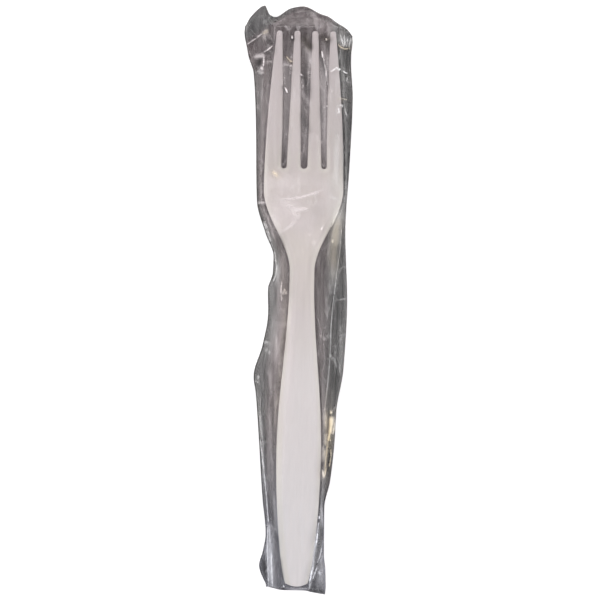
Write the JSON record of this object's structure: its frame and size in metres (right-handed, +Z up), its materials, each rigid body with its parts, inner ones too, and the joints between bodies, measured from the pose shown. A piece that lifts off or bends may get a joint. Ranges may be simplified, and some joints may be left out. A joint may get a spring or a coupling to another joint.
{
  "type": "wrapped plastic fork",
  "caption": "Disposable plastic fork lying face up in a sealed, crumpled sleeve of clear film, with a lapped seam on its back and a channel moulded under the handle.",
  "frame": {"origin": "on the table under the middle of the pack's box", "axes": "+Y along the fork towards its tines, +X to the right seen from above, +Z up out of the fork's face"},
  "size_m": [0.0352, 0.189, 0.0118],
  "materials": {
    "polypropylene": "satin moulded, off-white",
    "clear_film": "clear smoke-grey film, crumpled"
  },
  "bodies": {
    "root": {"fork": "polypropylene", "film_wrapper": "clear_film"}
  },
  "joints": []
}
